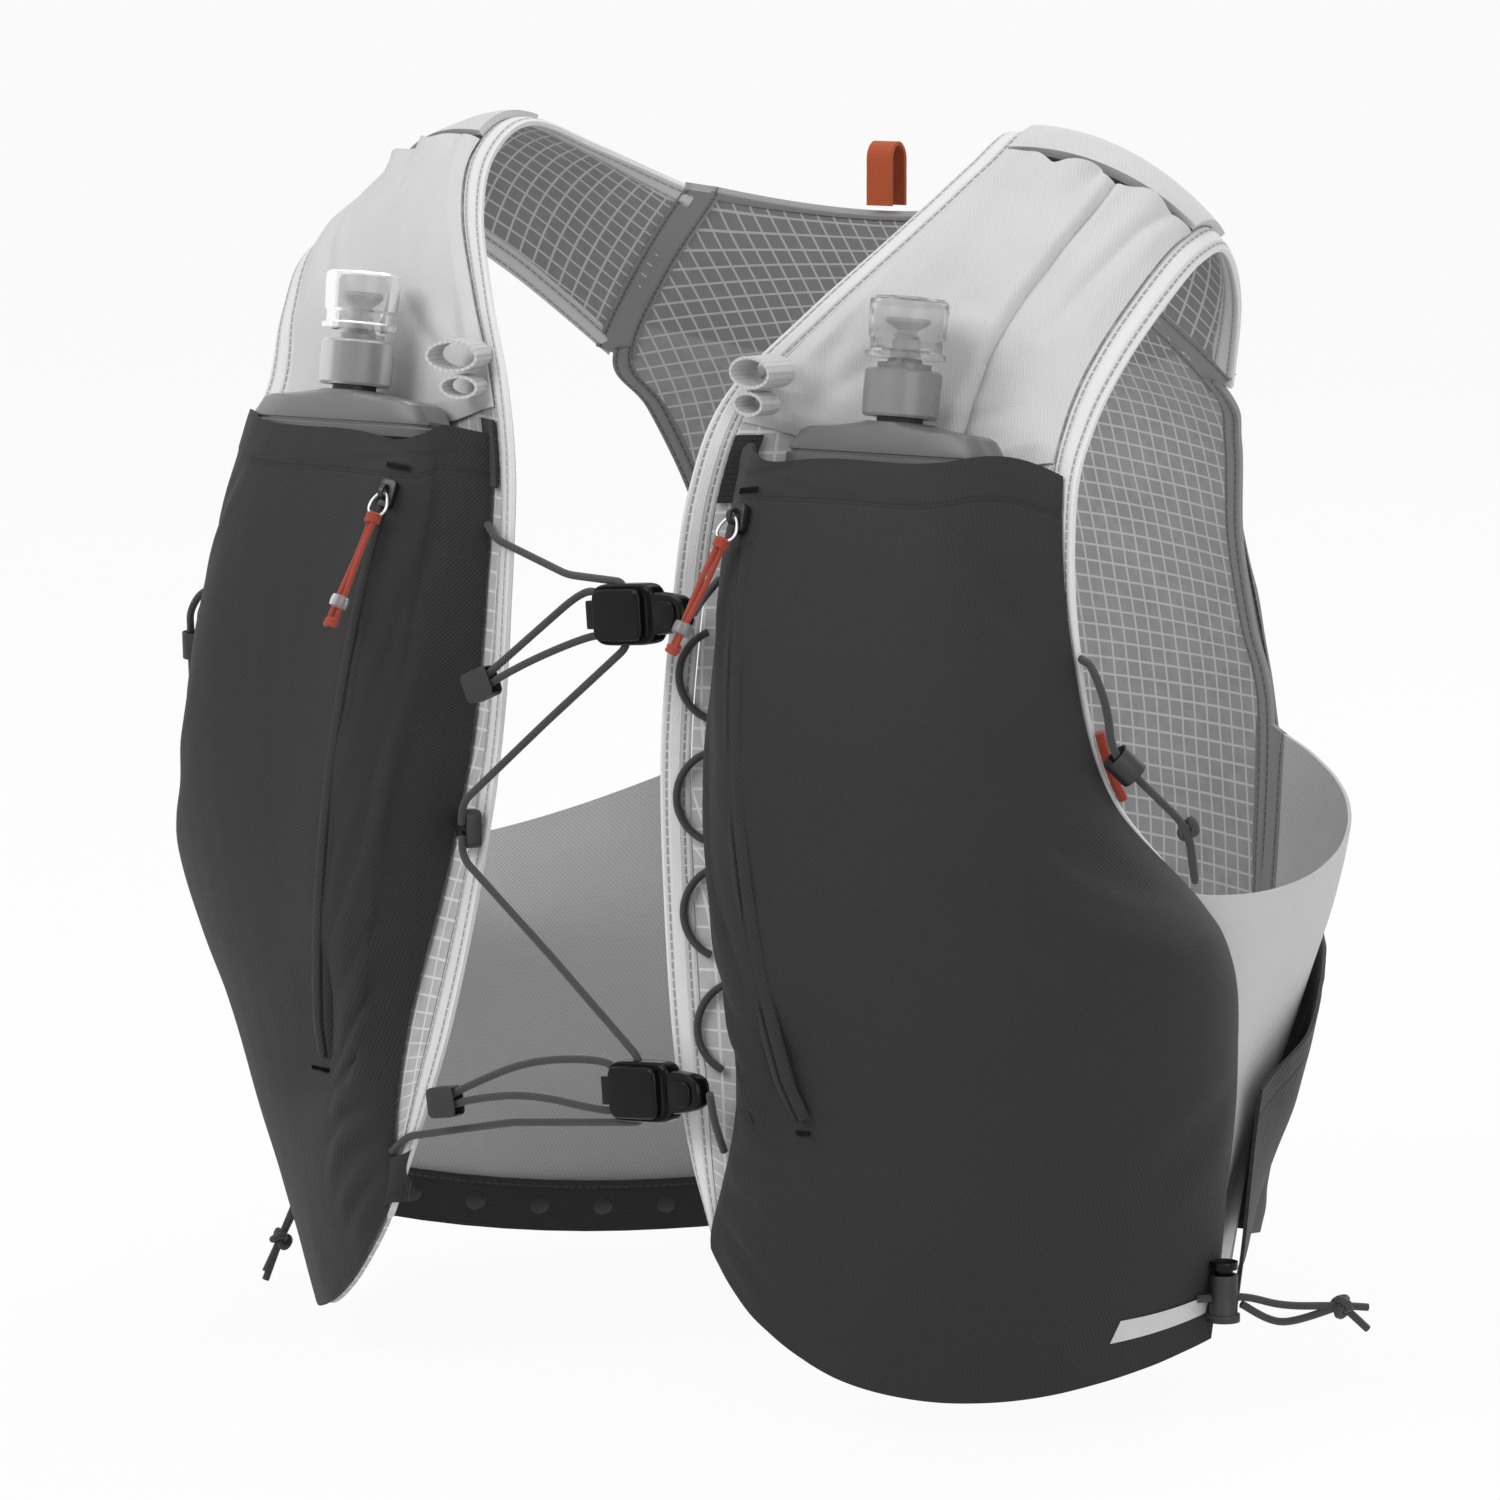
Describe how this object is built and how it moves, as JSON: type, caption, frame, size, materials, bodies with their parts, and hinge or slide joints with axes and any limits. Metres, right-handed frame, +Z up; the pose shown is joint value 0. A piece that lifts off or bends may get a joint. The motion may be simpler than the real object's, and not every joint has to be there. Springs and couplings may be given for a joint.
{
  "type": "hydration pack",
  "caption": "Running hydration vest with front flask pockets, stretch side wings, elastic sternum lacing, a zipped rear bag and orange zip pulls.",
  "frame": {"origin": "on the torso axis between the side wings, level with the lower edge of the hem", "axes": "+Z up, the front faces -Y, +X is the wearer's left"},
  "size_m": [0.4146, 0.3416, 0.3992],
  "materials": {
    "dark_stretch": "matte",
    "ripstop_grey": "matte",
    "light_stretch": "matte",
    "edge_tape": "matte",
    "grey_tape": "matte",
    "wing_mesh": "matte",
    "hem_elastic": "matte",
    "orange_cord": "matte",
    "grey_cord": "matte",
    "foam": "matte",
    "gloss_black": "gloss",
    "matte_black": "matte",
    "flask_film": "satin",
    "clear_plastic": "gloss",
    "silicone": "satin",
    "dark_metal": "satin"
  },
  "bodies": {
    "vest": {"back_panel": "ripstop_grey", "back_pad": "foam", "back_tape": "grey_tape", "bag_shell": "ripstop_grey", "bag_zip": "matte_black", "bladder_sleeve": "ripstop_grey", "rear_pocket": "dark_stretch", "hem_band": "hem_elastic", "hang_loop": "orange_cord", "harness_left": "ripstop_grey", "harness_right": "ripstop_grey", "strap_tape_left": "edge_tape", "strap_tape_right": "edge_tape", "shoulder_overlay_left": "light_stretch", "shoulder_overlay_right": "light_stretch", "front_pocket_left": "dark_stretch", "front_pocket_right": "dark_stretch", "front_zip_left": "matte_black", "front_zip_right": "matte_black", "pocket_tabs": "hem_elastic", "flask_keepers": "edge_tape", "side_wing_left": "wing_mesh", "side_wing_right": "wing_mesh", "lace_loops": "grey_cord", "lace_keeper": "matte_black", "lace_upper": "grey_cord", "lace_lower": "grey_cord", "lace_lock_upper": "gloss_black", "lace_lock_lower": "gloss_black", "tail_cord_upper": "grey_cord", "tail_cord_lower": "grey_cord", "cord_end_upper": "matte_black", "cord_end_lower": "matte_black", "side_cord_left": "grey_cord", "side_cord_right": "grey_cord", "side_bead_left": "matte_black", "side_bead_right": "matte_black", "hem_cord_left": "grey_cord", "hem_cord_right": "grey_cord", "hem_lock_left": "matte_black", "hem_lock_right": "matte_black", "side_pull": "orange_cord"},
    "flask_left_body": {"flask_left": "flask_film"},
    "cap_left": {"flask_cap_left": "flask_film", "bite_valve_left": "silicone"},
    "cover_left": {"valve_cover_left": "clear_plastic"},
    "slider_left": {"zip_slider_left": "dark_metal"},
    "pull_left": {"zip_pull_left": "orange_cord"},
    "plunger_left": {"hem_plunger_left": "gloss_black"},
    "flask_right_body": {"flask_right": "flask_film"},
    "cap_right": {"flask_cap_right": "flask_film", "bite_valve_right": "silicone"},
    "cover_right": {"valve_cover_right": "clear_plastic"},
    "slider_right": {"zip_slider_right": "dark_metal"},
    "pull_right": {"zip_pull_right": "orange_cord"},
    "plunger_right": {"hem_plunger_right": "gloss_black"},
    "bag_slider_body": {"bag_slider": "dark_metal"},
    "bag_pull_body": {"bag_pull": "orange_cord"},
    "button_upper": {"lock_button_upper": "gloss_black"},
    "button_lower": {"lock_button_lower": "gloss_black"}
  },
  "joints": [
    {"name": "flask_left_lift", "type": "slide", "parent": "vest", "child": "flask_left_body", "axis": [0, 0.1495, 0.9888], "range_m": [0, 0.2]},
    {"name": "cap_left_turn", "type": "hinge", "parent": "flask_left_body", "child": "cap_left", "pos_m": [0.109, -0.1145, 0.144], "axis": [0, 0.1495, 0.9888], "continuous": true},
    {"name": "cover_left_pull", "type": "slide", "parent": "cap_left", "child": "cover_left", "axis": [0, 0.1495, 0.9888], "range_m": [0, 0.02]},
    {"name": "zip_left_slide", "type": "hinge", "parent": "vest", "child": "slider_left", "pos_m": [0.12813, 0.14873, 0.1876], "axis": [0.9778, -0.163, 0.1319], "range_deg": [0, 32.5]},
    {"name": "pull_left_swing", "type": "hinge", "parent": "slider_left", "child": "pull_left", "pos_m": [0.06983, -0.12131, 0.2862], "axis": [0.9778, -0.163, 0.1319], "range_deg": [-110, 0]},
    {"name": "hem_lock_left_press", "type": "slide", "parent": "vest", "child": "plunger_left", "axis": [0, 0, -1], "range_m": [0, 0.0015], "stiffness_N_per_m": 300},
    {"name": "flask_right_lift", "type": "slide", "parent": "vest", "child": "flask_right_body", "axis": [0, 0.1495, 0.9888], "range_m": [0, 0.2]},
    {"name": "cap_right_turn", "type": "hinge", "parent": "flask_right_body", "child": "cap_right", "pos_m": [-0.109, -0.1145, 0.144], "axis": [0, 0.1495, 0.9888], "continuous": true},
    {"name": "cover_right_pull", "type": "slide", "parent": "cap_right", "child": "cover_right", "axis": [0, 0.1495, 0.9888], "range_m": [0, 0.02]},
    {"name": "zip_right_slide", "type": "hinge", "parent": "vest", "child": "slider_right", "pos_m": [-0.12813, 0.14873, 0.1876], "axis": [0.9778, 0.163, -0.1319], "range_deg": [0, 35.3]},
    {"name": "pull_right_swing", "type": "hinge", "parent": "slider_right", "child": "pull_right", "pos_m": [-0.06983, -0.12131, 0.2862], "axis": [0.9778, 0.163, -0.1319], "range_deg": [-110, 0]},
    {"name": "hem_lock_right_press", "type": "slide", "parent": "vest", "child": "plunger_right", "axis": [0, 0, -1], "range_m": [0, 0.0015], "stiffness_N_per_m": 300},
    {"name": "bag_zip_slide", "type": "slide", "parent": "vest", "child": "bag_slider_body", "axis": [1, 0, 0], "range_m": [0, 0.1]},
    {"name": "bag_pull_swing", "type": "hinge", "parent": "bag_slider_body", "child": "bag_pull_body", "pos_m": [-0.05, 0.122, 0.3225], "axis": [0, 1, 0], "range_deg": [0, 176]},
    {"name": "lace_lock_upper_press", "type": "slide", "parent": "vest", "child": "button_upper", "axis": [0.996, -0.0398, 0.0797], "range_m": [0, 0.0015], "stiffness_N_per_m": 300},
    {"name": "lace_lock_lower_press", "type": "slide", "parent": "vest", "child": "button_lower", "axis": [0.996, -0.0398, 0.0797], "range_m": [0, 0.0015], "stiffness_N_per_m": 300}
  ]
}
